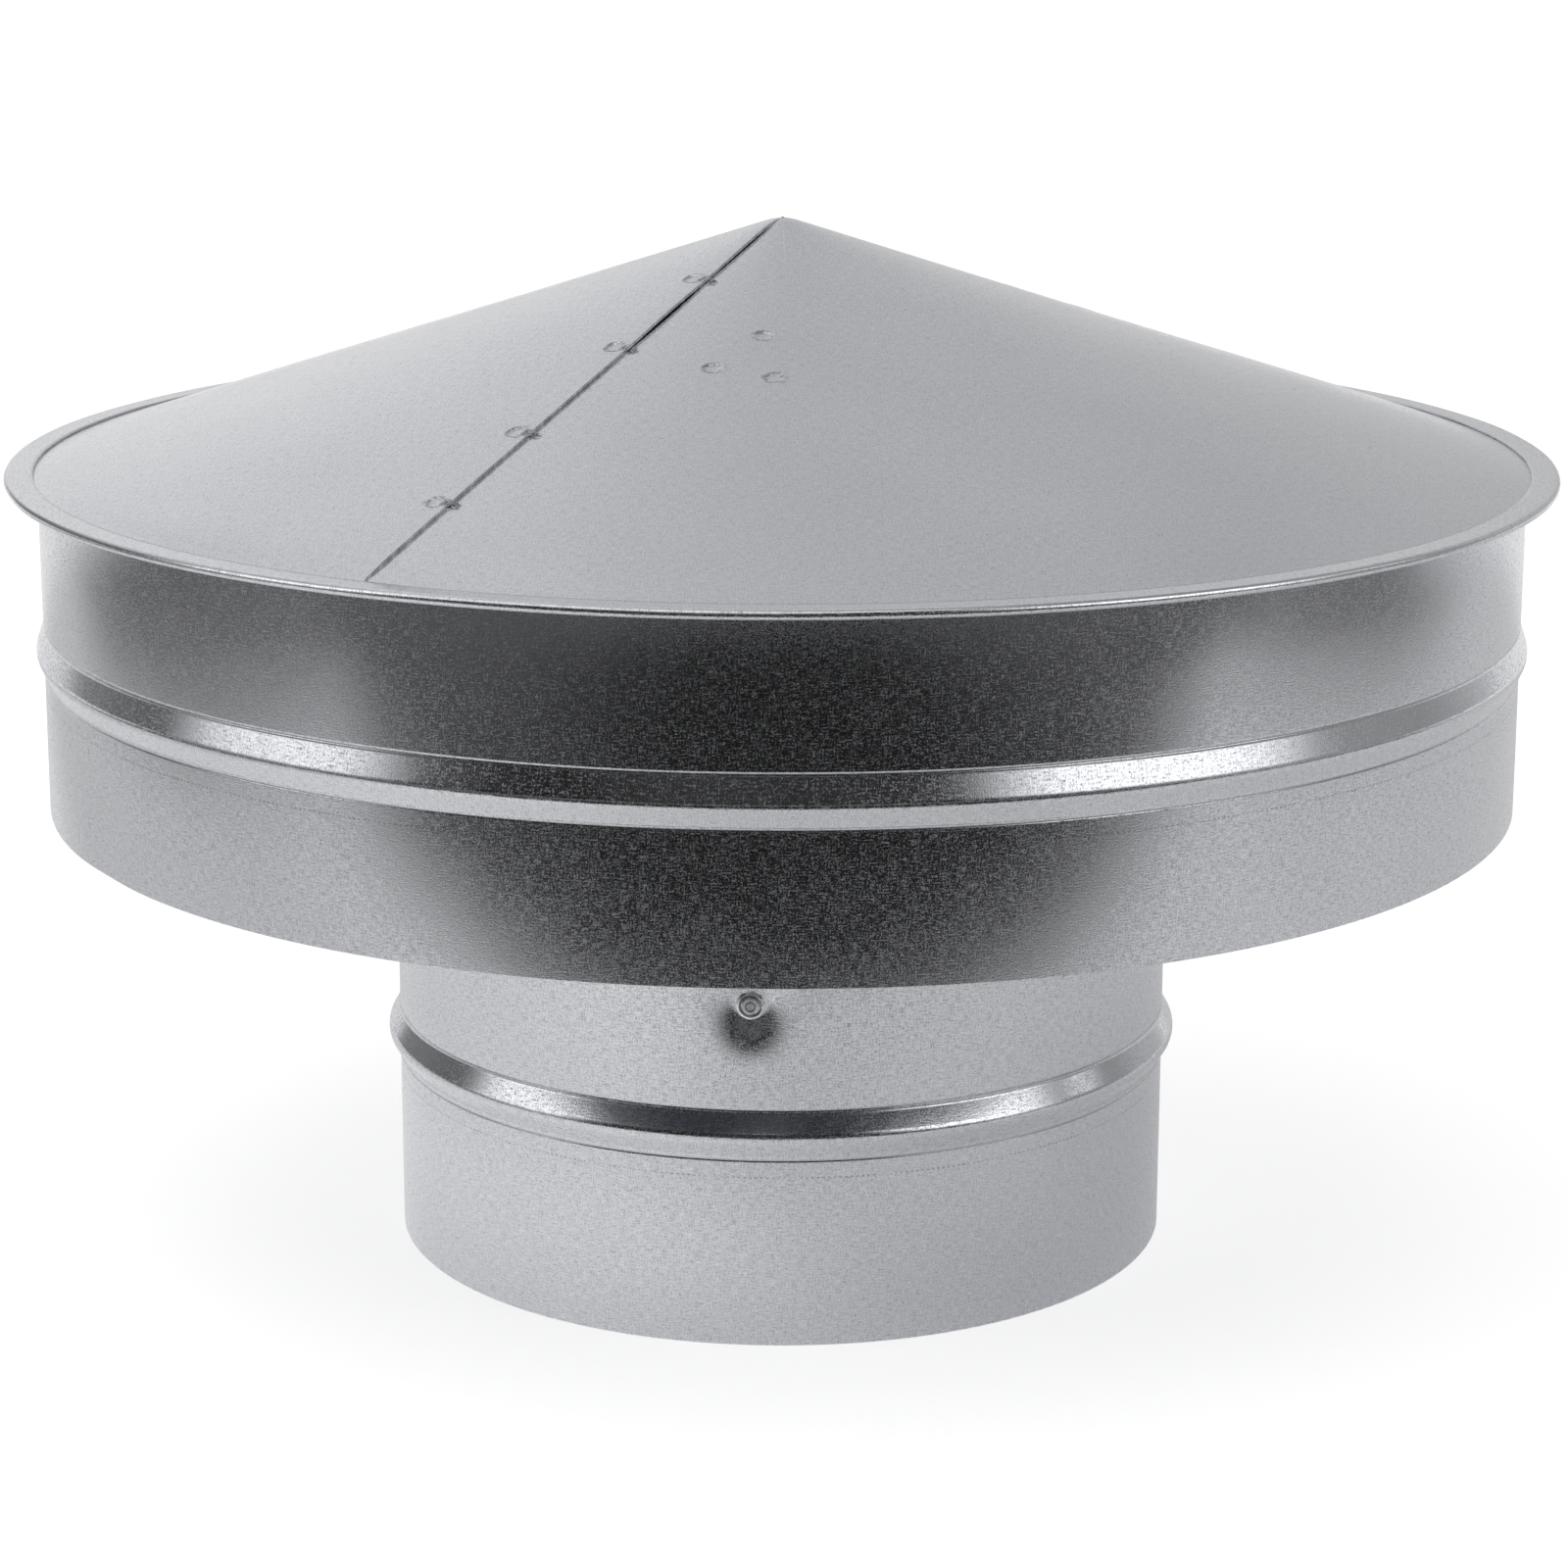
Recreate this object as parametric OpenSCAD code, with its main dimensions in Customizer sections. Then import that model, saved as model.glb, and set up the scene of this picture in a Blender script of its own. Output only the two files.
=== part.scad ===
// Roof vent cap: a conical hood with a deep outer ring, carried on three
// brackets above a round duct spigot. Everything is thin galvanised sheet.
// Millimetres, +Z up, origin at the middle of the spigot's bottom edge.
// An azimuth is counted from the front (-Y) towards the right (+X).

/* [Sheet] */
// Thickness of the galvanised sheet of hood, ring and spigot
sheet_t = 0.6; // [0.5:0.1:1]
// Play between two faces that are pressed or welded together
seat_gap = 0.02; // [0:0.01:0.05]

/* [Spigot] */
// Outside diameter of the spigot, which the duct slips over
spigot_d = 160; // [150:5:180]
// Height of the spigot
spigot_h = 125; // [110:1:140]
// Height of the crest of the spigot's bead, the stop for the duct
spigot_bead_z = 42.9; // [35:0.1:50]
// Reach of the spigot's bead below its crest
spigot_bead_low = 4.6; // [4:0.1:7]
// Reach of the spigot's bead above its crest
spigot_bead_high = 5; // [4:0.1:7]
// How far the spigot's bead stands out
spigot_bead_out = 2.3; // [1:0.1:3]

/* [Outer ring] */
// Outside diameter of the ring's wall
ring_d = 300; // [280:5:320]
// Height of the ring, bottom edge to the top of the folded rim
ring_h = 68.5; // [60:0.5:80]
// Height of the ring's bottom edge above the spigot's bottom edge
ring_z = 94; // [85:0.5:100]
// Crest of the ring's bead above the ring's bottom edge
ring_bead_up = 33; // [25:0.1:40]
// Reach of the ring's bead below its crest
ring_bead_low = 4.2; // [4:0.1:7]
// Reach of the ring's bead above its crest
ring_bead_high = 5.2; // [4:0.1:7]
// How far the ring's bead stands out
ring_bead_out = 1.5; // [1:0.1:2.5]
// Radius at the roots of both beads
bead_root = 1.2; // [0.8:0.1:1.5]
// Radius at the crest of both beads
bead_crest = 2.6; // [1:0.1:2.8]
// Azimuth of the cut edge of the ring's lap seam
ring_lap_az = 186; // [150:1:210]
// Angle over which the upper sheet of that seam comes down to the lower one
ring_lap_span = 20; // [15:1:25]
// Spacing of the spot welds along the ring's lap seam
ring_weld_pitch = 17; // [12:1:18]
// Places of those welds above the ring's bottom edge, counted in spacings
ring_weld_rows = [0.5, 1.5, 3.5];

/* [Rim] */
// Width of the ring's flange, which is folded over the hood's edge
flange_w = 6.6; // [6:0.1:8]
// Width of the folded band that shows on top of the hood
fold_w = 5.4; // [4.5:0.1:5.7]
// Play between the hood's edge and the fold
fold_play = 0.3; // [0.2:0.05:0.5]
// Radius of the bend from the ring's wall to its flange
flange_bend = 0.6; // [0.4:0.1:1]

/* [Hood] */
// Slope of the cone
hood_slope = 18; // [12:1:25]
// Azimuth of the cut edge of the cone's lap seam
lap_az = -30; // [-60:1:60]
// Angle over which the upper sheet comes down to the lower one
lap_span = 50; // [40:1:55]
// Distances of the seam's spot welds from the axis
lap_weld_r = [31, 61, 96, 123];
// Distance of the seam's spot welds from the cut edge
lap_weld_in = 3.4; // [3:0.1:6]
// Diameter of the dent that a spot weld leaves
weld_d = 4.8; // [3:0.1:5]
// Depth of that dent
weld_depth = 0.3; // [0.1:0.05:0.35]

/* [Brackets] */
// Azimuth of the front bracket; the other two are a third of a turn away
bracket_az = -5.3; // [-20:0.1:20]
// Width of the bracket's strip
bracket_w = 25; // [20:1:30]
// Thickness of the bracket's strip
bracket_t = 1.25; // [1:0.05:2]
// Distance of the bracket's foot below the rivet
bracket_foot = 11; // [8:0.5:20]
// Distance from the axis to the tip of the bracket's flange
bracket_tip_r = 44; // [35:1:48]
// Outer radius of the bracket's bend
bracket_bend = 3; // [2.5:0.1:5]
// Places of the spot welds on the flange, across it and out from the axis
bracket_welds = [[0.3, 52], [-8.3, 64.9], [3.6, 68.6]];

/* [Rivets] */
// Height of the rivets
rivet_z = 69; // [62:0.5:75]
// Diameter of the rivet's shank
rivet_d = 3.2; // [2.4:0.1:4]
// Diameter of the rivet head's flange
rivet_head_d = 5.8; // [5.5:0.1:6.4]
// Thickness of that flange
rivet_flange_t = 0.35; // [0.3:0.05:0.5]
// Diameter of the dome on the flange
rivet_dome_d = 4.4; // [4:0.1:5]
// Height of the head, flange and dome together
rivet_head_h = 1; // [0.8:0.1:1.2]
// Radial play of the shank in its holes
rivet_play = 0.05; // [0.05:0.01:0.1]
// Radius of the bulged rim on the blind side
rivet_bulge_r = 1.5; // [1.3:0.1:1.8]
// Diameter of the mandrel
mandrel_d = 1.8; // [1.4:0.1:1.8]
// Radial play of the mandrel in the rivet
mandrel_play = 0.03; // [0.02:0.01:0.05]
// Diameter of the mandrel's head
mandrel_head_d = 2.7; // [2.4:0.1:3]
// How deep the broken mandrel sits in the dome
mandrel_recess = 0.35; // [0.1:0.05:0.5]
// Width of the flat seat pressed into the spigot under the rivet head
seat_d = 6.8; // [6.6:0.1:8]
// Steepness of the dimple round that seat
seat_cone = 11; // [10:1:25]

/* [Hidden] */
$fn = 96;

zinc = [0.72, 0.74, 0.75];
strip_zinc = [0.64, 0.66, 0.68];
rivet_grey = [0.80, 0.81, 0.82];
pin_grey = [0.50, 0.51, 0.53];

// Angle between two points on a bend
arc_step = 9;
// Length of helper solids that reach past the whole part
reach = 400;
// Depth by which a cutter passes the face that it cuts
past = 1;
// Half the length of the drill for the rivet holes
drill = 20;
// Angle past the end of the hood's lap at which its upper sheet crosses the cone
lap_ease = 10;
// The same for the ring's lap
ring_lap_ease = 5;
// The hood's upper sheet starts this many sideways shifts from the axis
lap_tip = 3;

spigot_r = spigot_d / 2;
ring_r = ring_d / 2;
rim_r = ring_r + flange_w;
// Outer radius of the fold: half of the three sheets that lie in it
fold_bend = 3 * sheet_t / 2;
rim_top = ring_z + ring_h;
hood_edge_z = rim_top - sheet_t;
hood_edge_r = rim_r - fold_bend - fold_play;
hood_foot_r = rim_r - fold_w - fold_play;
slope_k = tan(hood_slope);
sheet_rise = sheet_t / cos(hood_slope);
apex_z = hood_edge_z + slope_k * hood_foot_r;
// Height at which the cone's underside would reach the axis
under_z = apex_z - sheet_rise - seat_gap;
third = 120;

// Distance from the axis to the outer face of a bracket's upright, so that
// its long edges clear the inside of the spigot
bracket_r = sqrt(pow(spigot_r - sheet_t, 2) - pow(bracket_w / 2, 2)) - seat_gap;
// Distance from the axis to the flat face under a rivet head
seat_r = bracket_r + sheet_t + seat_gap;
grip = seat_r - bracket_r + bracket_t;
// How far the middle of the blind side's bulge lies inside the shank
bulge_sink = rivet_bulge_r / 3;

// One step along a sheet's outline is [length] for a straight run, or
// [radius, angle] for a bend, with a positive angle turning left.
// A pose is [point, heading].
function turned(p, a) = [p[0] * cos(a) - p[1] * sin(a), p[0] * sin(a) + p[1] * cos(a)];
function centre(step) = [0, sign(step[1]) * step[0]];
function moved(step) =
    len(step) == 1 ? [step[0], 0] : centre(step) - turned(centre(step), step[1]);
function after(pose, step) =
    [pose[0] + turned(moved(step), pose[1]), pose[1] + (len(step) == 1 ? 0 : step[1])];
function pieces(step) = len(step) == 1 ? 1 : ceil(abs(step[1]) / arc_step);
function split(step) =
    let (n = pieces(step)) [for (i = [1:n]) n == 1 ? step : [step[0], step[1] / n]];
function walk(pose, steps, i = 0) =
    i == len(steps) ? [pose] : concat([pose], walk(after(pose, steps[i]), steps, i + 1));
// The points of a sheet's outline, taken depth inside its outer face
function face(pose, steps, depth = 0) =
    let (fine = [for (step = steps) each split(step)])
    [for (at = walk(pose, fine)) at[0] + turned([0, depth], at[1])];
function backwards(list) = [for (i = [len(list) - 1:-1:0]) list[i]];

// A rolled bead: two straight flanks, rounded at the crest and at both roots
bead_radii = bead_root + bead_crest;
function flank_turn(h, out) =
    asin(bead_radii / norm([h, bead_radii - out])) - atan2(bead_radii - out, h);
function flank(h, turn) = (h - bead_radii * sin(turn)) / cos(turn);
function bead(low, high, out) =
    let (a = flank_turn(low, out), b = flank_turn(high, out))
    [[bead_root, -a], [flank(low, a)], [bead_crest, a + b], [flank(high, b)], [bead_root, -b]];

spigot_start = [[spigot_r, 0], 90];
spigot_steps = concat(
    [[spigot_bead_z - spigot_bead_low]],
    bead(spigot_bead_low, spigot_bead_high, spigot_bead_out),
    [[spigot_h - spigot_bead_z - spigot_bead_high]]);

ring_start = [[ring_r, ring_z], 90];
ring_wall_top = ring_h - fold_bend * 2 - flange_bend;
ring_wall_steps = concat(
    [[ring_bead_up - ring_bead_low]],
    bead(ring_bead_low, ring_bead_high, ring_bead_out),
    [[ring_wall_top - ring_bead_up - ring_bead_high]]);
ring_steps = concat(
    ring_wall_steps,
    [[flange_bend, -90],
     [flange_w - flange_bend - fold_bend],
     [fold_bend, 180],
     [fold_w - fold_bend]]);

bracket_turn = 90 - hood_slope;
bracket_start = [[bracket_r, rivet_z - bracket_foot], 90];
bracket_corner_z = under_z - slope_k * bracket_r;
bracket_tangent = bracket_bend * tan(bracket_turn / 2);
bracket_knee_r = bracket_r - bracket_tangent * cos(hood_slope);
bracket_steps = [
    [bracket_corner_z - bracket_tangent - (rivet_z - bracket_foot)],
    [bracket_bend, bracket_turn]];

function cap_radius(half_chord, height) =
    (pow(half_chord, 2) + pow(height, 2)) / (2 * height);

// A strip of sheet, seen in section
module section(pose, steps, t) {
    polygon(concat(face(pose, steps), backwards(face(pose, steps, t))));
}

// The solid of revolution inside an outline, run on by extra at both ends
module filled(pose, steps, depth = 0, extra = 0) {
    edge = face(pose, steps, depth);
    low = edge[0] - [0, extra];
    high = edge[len(edge) - 1] + [0, extra];
    rotate_extrude() polygon(concat([[0, low[1]], low], edge, [high, [0, high[1]]]));
}

// The wedge between two azimuths, less than half a turn apart
module wedge(from_az, to_az) {
    mid = (from_az + to_az) / 2;
    half = (to_az - from_az) / 2;
    rotate(mid) linear_extrude(reach)
    polygon([[0, 0], [-reach * sin(half), -reach * cos(half)], [0, -2 * reach],
             [reach * sin(half), -reach * cos(half)]]);
}

module at_azimuth(az) {
    rotate(az) children();
}

// A round dent, at the origin, in a face whose normal is +Z. The cylinder keeps
// the rest of the sphere off the sheets beside the dent.
module dent() {
    r = cap_radius(weld_d / 2, weld_depth);
    intersection() {
        translate([0, 0, r - weld_depth]) sphere(r);
        translate([0, 0, -2 * weld_depth]) cylinder(d = weld_d + past, h = 3 * weld_depth);
    }
}

// Places a dent on the cone, across and out from the axis at azimuth 0
module on_cone(across, out, lift = 0) {
    r = norm([across, out]);
    rotate(atan2(across, out)) translate([0, -r, apex_z - slope_k * r + lift])
    rotate([hood_slope, 0, 0]) children();
}

module cone_solid(top_z) {
    rotate_extrude()
    polygon([[0, 0], [top_z / slope_k, 0], [0, top_z]]);
}

// The upper sheet of the cone's lap seam: the cone again, moved so that it
// lies one sheet higher at the cut edge and sinks into the cone lap_span away
module hood_lap() {
    side = sheet_rise / (slope_k * sin(lap_span + lap_ease));
    difference() {
        intersection() {
            at_azimuth(lap_az) translate([side, 0, sheet_rise]) cone_solid(apex_z);
            wedge(lap_az - lap_span, lap_az);
            translate([0, 0, hood_edge_z]) cylinder(r = hood_foot_r, h = reach);
        }
        cone_solid(apex_z - sheet_rise / 2);
        cylinder(r = lap_tip * side, h = reach);
    }
}

module hood_cone() {
    color(zinc)
    difference() {
        union() {
            rotate_extrude()
            polygon([[0, apex_z],
                     [hood_foot_r, hood_edge_z],
                     [hood_edge_r, hood_edge_z],
                     [hood_edge_r, hood_edge_z - sheet_t],
                     [hood_foot_r, hood_edge_z - sheet_t],
                     [0, apex_z - sheet_rise]]);
            hood_lap();
        }
        for (r = lap_weld_r)
            at_azimuth(lap_az) on_cone(-lap_weld_in, r, sheet_rise) dent();
        for (i = [-1:1], weld = bracket_welds)
            at_azimuth(bracket_az + i * third) on_cone(weld[0], weld[1]) dent();
    }
}

// The upper sheet of the ring's lap seam, made like the hood's
module ring_lap() {
    cross = ring_lap_span + ring_lap_ease;
    side = sheet_t / sin(cross);
    difference() {
        intersection() {
            at_azimuth(ring_lap_az - cross) translate([side, 0, 0])
            filled(ring_start, ring_wall_steps);
            wedge(ring_lap_az - ring_lap_span, ring_lap_az);
        }
        filled(ring_start, ring_wall_steps, sheet_t / 2, past);
    }
}

module outer_ring() {
    color(zinc)
    difference() {
        union() {
            rotate_extrude() section(ring_start, ring_steps, sheet_t);
            ring_lap();
        }
        for (row = ring_weld_rows)
            at_azimuth(ring_lap_az)
            translate([-lap_weld_in, -ring_r - sheet_t, ring_z + row * ring_weld_pitch])
            rotate([90, 0, 0]) dent();
    }
}

// Places what follows on a rivet's axis: +Z points out of the spigot, and
// its origin is the flat face under the rivet head
module on_rivet(az) {
    at_azimuth(az) translate([0, -seat_r, rivet_z]) rotate([90, 0, 0]) children();
}

// The dish that the rivet draws into the spigot's wall, t inside its face
module dish(t) {
    h = spigot_r - seat_r + past + t;
    r = seat_d / 2 + t * tan(seat_cone / 2);
    translate([0, 0, -t]) cylinder(r1 = r, r2 = r + h / tan(seat_cone), h = h);
}

module rivet_hole() {
    translate([0, 0, -drill]) cylinder(d = rivet_d + 2 * rivet_play, h = 2 * drill);
}

module spigot() {
    color(zinc)
    difference() {
        union() {
            rotate_extrude() section(spigot_start, spigot_steps, sheet_t);
            intersection() {
                for (i = [-1:1]) on_rivet(bracket_az + i * third) dish(sheet_t);
                cylinder(r = spigot_r - sheet_t / 2, h = spigot_h);
            }
        }
        for (i = [-1:1]) on_rivet(bracket_az + i * third) {
            dish(0);
            rivet_hole();
        }
    }
}

// Upright, bend and flange of one bracket; the flange is dished with the cone
module bracket(az) {
    flange_z = under_z - bracket_t / cos(hood_slope);
    at_azimuth(az)
    difference() {
        union() {
            intersection() {
                rotate([90, 0, -90]) linear_extrude(bracket_w, center = true)
                section(bracket_start, bracket_steps, bracket_t);
                cone_solid(under_z);
            }
            intersection() {
                difference() {
                    cone_solid(under_z);
                    translate([0, 0, -past]) cone_solid(flange_z + past);
                    cone_solid(flange_z);
                }
                translate([-bracket_w / 2, -bracket_knee_r, rivet_z])
                cube([bracket_w, bracket_knee_r - bracket_tip_r, reach]);
            }
        }
        on_rivet(0) rivet_hole();
    }
}

module rivet(az) {
    dome = cap_radius(rivet_dome_d / 2, rivet_head_h - rivet_flange_t);
    on_rivet(az) rotate_extrude() difference() {
        union() {
            intersection() {
                translate([0, rivet_head_h - dome]) circle(dome);
                square([rivet_dome_d / 2, rivet_head_h]);
            }
            square([rivet_head_d / 2, rivet_flange_t]);
            translate([0, -grip - 2 * rivet_bulge_r]) square([rivet_d / 2, grip + 2 * rivet_bulge_r]);
            translate([rivet_d / 2 - bulge_sink, -grip - rivet_bulge_r]) circle(rivet_bulge_r);
        }
        translate([-rivet_bulge_r, -reach / 2])
        square([rivet_bulge_r + mandrel_d / 2 + mandrel_play, reach]);
    }
}

module rivet_pin(az) {
    end_z = -grip - 2 * rivet_bulge_r;
    head_r = mandrel_head_d / 2;
    on_rivet(az) {
        translate([0, 0, end_z]) cylinder(d = mandrel_d, h = rivet_head_h - mandrel_recess - end_z);
        translate([0, 0, end_z - head_r]) cylinder(r = head_r, h = head_r);
        translate([0, 0, end_z - head_r]) sphere(head_r);
    }
}

module bracket_front() { color(strip_zinc) bracket(bracket_az); }
module bracket_rear_left() { color(strip_zinc) bracket(bracket_az - third); }
module bracket_rear_right() { color(strip_zinc) bracket(bracket_az + third); }
module rivet_front() { color(rivet_grey) rivet(bracket_az); }
module rivet_rear_left() { color(rivet_grey) rivet(bracket_az - third); }
module rivet_rear_right() { color(rivet_grey) rivet(bracket_az + third); }
module rivet_pin_front() { color(pin_grey) rivet_pin(bracket_az); }
module rivet_pin_rear_left() { color(pin_grey) rivet_pin(bracket_az - third); }
module rivet_pin_rear_right() { color(pin_grey) rivet_pin(bracket_az + third); }

hood_cone();
outer_ring();
spigot();
bracket_front();
bracket_rear_left();
bracket_rear_right();
rivet_front();
rivet_rear_left();
rivet_rear_right();
rivet_pin_front();
rivet_pin_rear_left();
rivet_pin_rear_right();
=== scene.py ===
"""Looks of the roof vent cap: lapped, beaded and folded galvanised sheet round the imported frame."""

import math

import bmesh
import bpy
from mathutils import Matrix, Vector, noise


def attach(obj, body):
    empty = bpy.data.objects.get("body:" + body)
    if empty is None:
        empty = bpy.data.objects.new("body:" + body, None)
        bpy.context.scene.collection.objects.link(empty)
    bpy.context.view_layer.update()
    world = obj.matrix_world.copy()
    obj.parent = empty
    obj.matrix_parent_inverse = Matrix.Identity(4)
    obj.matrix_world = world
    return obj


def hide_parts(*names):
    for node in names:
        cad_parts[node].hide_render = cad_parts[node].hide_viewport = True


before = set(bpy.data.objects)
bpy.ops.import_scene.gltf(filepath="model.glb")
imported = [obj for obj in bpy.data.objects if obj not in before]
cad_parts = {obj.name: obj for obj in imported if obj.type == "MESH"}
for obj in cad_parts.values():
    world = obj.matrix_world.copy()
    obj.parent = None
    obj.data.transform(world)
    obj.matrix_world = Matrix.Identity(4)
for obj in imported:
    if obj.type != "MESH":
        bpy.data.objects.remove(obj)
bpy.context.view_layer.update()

MM = 0.001
# Points closer than this, in metres, are one; edges sharper than this, in degrees, stay sharp
MERGE = 2e-6
SHARP = 50

# Sheet sizes in millimetres, the same as in the part's source
SHEET = 0.6
GAP = 0.02
# Worn edge of a cut sheet, and the short runs that keep a bend's shading off a flat
CHAMFER = 0.1
HOLD = 0.12
SPIGOT_R = 80
SPIGOT_H = 125
RING_R = 150
RING_Z = 94
RING_H = 68.5
RIM_R = 156.6
RIM_TOP = RING_Z + RING_H
FOLD_W = 5.4
FOLD_BEND = 0.9
FLANGE_BEND = 0.6
HOOD_FOOT_R = 150.9
HOOD_BRIM_R = 155.2
HOOD_SLOPE = 18
HOOD_FOOT_Z = RIM_TOP - SHEET
APEX_Z = HOOD_FOOT_Z + math.tan(math.radians(HOOD_SLOPE)) * HOOD_FOOT_R

# Rolled beads: height of the crest, reach below and above it, and how far it stands out
SPIGOT_BEAD = {"crest": 42.9, "below": 4.6, "above": 5.0, "out": 2.3}
RING_BEAD = {"crest": 127, "below": 4.2, "above": 5.2, "out": 1.5}
BEAD_ROOT = 1.2
BEAD_CREST = 2.6
# Heights of the dotted lines that the edge of the beading roller leaves
SPIGOT_LINE = 34.5
RING_LINE = 119.2

# Lap seams, with azimuths counted from the front towards the right
HOOD_LAP = -30
HOOD_LAP_SPAN = 60
RING_LAP = 186
RING_LAP_SPAN = 22
# How far the lower sheet reaches in under the upper one, and at most how far round, in radians
UNDERLAP = 10
UNDERLAP_TURN = 0.4
# Spot welds: distance from the cut edge, radius and depth of the dent
WELD_IN = 2.6
WELD_R = 2.2
WELD_DEPTH = 0.22
# Raised rim of a dent: share of the depth, and its place and width as shares of the radius
DENT_RIM = (0.25, 1.08, 0.16)
HOOD_WELDS = (31, 61, 96, 123)
# How far the cut edge springs open before, between and after those welds
EDGE_LIFT = (0.16, 0.26, 0.05, 0.03, 0.02)
LIFT_REACH = 7
# The lower sheet gives way under that edge by this share, over a wider reach
UNDER_SHARE = 0.25
UNDER_REACH = 12
# The lap is pressed flat inside the rim, over this reach, and at the cone's tip
RIM_GRIP = (2, 4.5)
TIP_GRIP = 7
TIP_SINK = 0.35
TIP_REACH = 1.6
# Rows of points down the cone: those at the tip, the usual pitch, and round each weld a finer
# pitch in a zone of this half width
TIP_ROWS = (0, 0.5, 1.2, 2.2, 3.5, 5)
ROW_PITCH = 3.5
WELD_ZONE = 3.3
WELD_PITCH = 0.42
# Waves in the cone, wide ones and small ones: height, pitch and layer of the noise
HOOD_WAVES = ((0.22, 60, 0.7), (0.05, 17, 4.2))
RING_WELDS = (102.5, 119.5, 153.5)
# Height of the ring's waves, and how much its rim is uneven inwards, downwards and at its edge
RING_WAVE = 0.1
RIM_INWARDS = 0.12
RIM_DOWNWARDS = 0.07
RIM_EDGE = 0.18
# The ring's lap fades out below the fold, between these depths under the rim
LAP_END = (2.5, 7)
# Slight ripple of the ring's cut edge
RIPPLE = 0.08
RIPPLE_REACH = 4
RIPPLE_PITCH = 2.7
# Folding the rim draws the top of the wall in, over this height
TOP_LEAN = 0.4
LEAN_HEIGHT = 16
# A flat place that a knock has left low on the ring
KNOCK_AZ = -60
KNOCK_Z = 105
KNOCK_DEPTH = 0.35
KNOCK_REACH = 11

BRACKET_AZ = (-5.3, 114.7, -125.3)
BRACKET_WELDS = ((0.3, 52), (-8.3, 64.9), (3.6, 68.6))
RIVET_Z = 69
SEAT_R = 79.01
# Worn edge of the strips
STRIP_WEAR = 0.12
SPIGOT_WAVE = 0.05
# The wall is drawn in round a point this far above the rivet: fully inside the half width, and
# less and less out to the reach; it is narrower across by the last value
SEAT_LIFT = 1.3
SEAT_HALF = 4.1
SEAT_REACH = 14.8
SEAT_NARROW = 1.1
# Butt seam at the back of the spigot: a thin raised line
SPIGOT_SEAM = 176
SEAM_HEIGHT = 0.12
SEAM_REACH = 0.8


def smooth(low, high, x):
    """0 below low, 1 above high, and an even turn between them."""
    t = min(1, max(0, (x - low) / (high - low)))
    return t * t * (3 - 2 * t)


def dent(distance, radius, depth):
    """A round dent with a slightly raised rim."""
    t = distance / radius
    if t > 2:
        return 0
    share, place_at, width = DENT_RIM
    rim = share * depth * math.exp(-((t - place_at) / width) ** 2)
    return rim - depth * smooth(1, 0.5, t)


# ---- Outlines of the sheets ----

def run(length, pitch=3.0):
    return ("run", length, pitch)


def bend(radius, angle, turn=8.0):
    return ("bend", radius, angle, turn)


def outline(point, heading, steps):
    """Walks along a sheet's outer face; a positive bend turns left. Gives (r, z, nr, nz)."""
    r, z = point
    a = math.radians(heading)
    points = [(r, z, math.sin(a), -math.cos(a))]
    for kind, size, *more in steps:
        count = math.ceil(size / more[0]) if kind == "run" else math.ceil(abs(more[0]) / more[1])
        for _ in range(max(1, count)):
            if kind == "run":
                r += math.cos(a) * size / count
                z += math.sin(a) * size / count
            else:
                side = math.copysign(size, more[0])
                r -= side * math.sin(a)
                z += side * math.cos(a)
                a += math.radians(more[0] / count)
                r += side * math.sin(a)
                z -= side * math.cos(a)
            points.append((r, z, math.sin(a), -math.cos(a)))
    return points


def flank_angle(height, out):
    """Slope of a bead's flank, with the root and crest radii at its ends."""
    radii = BEAD_ROOT + BEAD_CREST
    lean = math.atan2(radii - out, height)
    return math.degrees(math.asin(radii / math.hypot(height, radii - out)) - lean)


def held_run(length, pitch=3.0):
    """A straight run with a short piece at each end, which keeps the shading of a bend off it."""
    if length < 4 * HOLD:
        return [run(length, pitch)]
    return [run(HOLD), run(length - 2 * HOLD, pitch), run(HOLD)]


def bead(shape):
    low = flank_angle(shape["below"], shape["out"])
    high = flank_angle(shape["above"], shape["out"])
    radii = BEAD_ROOT + BEAD_CREST

    def flank(height, angle):
        a = math.radians(angle)
        return held_run((height - radii * math.sin(a)) / math.cos(a))

    return ([bend(BEAD_ROOT, -low, 4)] + flank(shape["below"], low)
            + [bend(BEAD_CREST, low + high, 5)]
            + flank(shape["above"], high) + [bend(BEAD_ROOT, -high, 4)])


# ---- Meshes ----

def place(azimuth, r, z):
    a = math.radians(azimuth)
    return Vector((r * math.sin(a), -r * math.cos(a), z)) * MM


def add_object(name, data):
    obj = bpy.data.objects.new(name, data)
    bpy.context.scene.collection.objects.link(obj)
    return obj


def sheet_loop(points, warp, column):
    """One section of a sheet: the outer face, a worn edge, and the inner face back again."""
    outer = []
    inner = []
    last = len(points) - 1
    for i, (r, z, nr, nz) in enumerate(points):
        azimuth, push, dr, dz = warp(i, r, z, column)
        along = CHAMFER if i == last else -CHAMFER if i == 0 else 0
        tr, tz = -nz, nr
        r, z = r + push * nr + dr, z + push * nz + dz
        outer.append((azimuth, r - along * tr, z - along * tz))
        if along:
            outer.append((azimuth, r - CHAMFER * nr, z - CHAMFER * nz))
            back = SHEET - CHAMFER
            inner.append((azimuth, max(0, r - back * nr), z - back * nz))
        inner.append((azimuth, max(0, r - SHEET * nr - along * tr), z - SHEET * nz - along * tz))
        if i == 0:
            outer[0], outer[1] = outer[1], outer[0]
    return outer, inner


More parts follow.
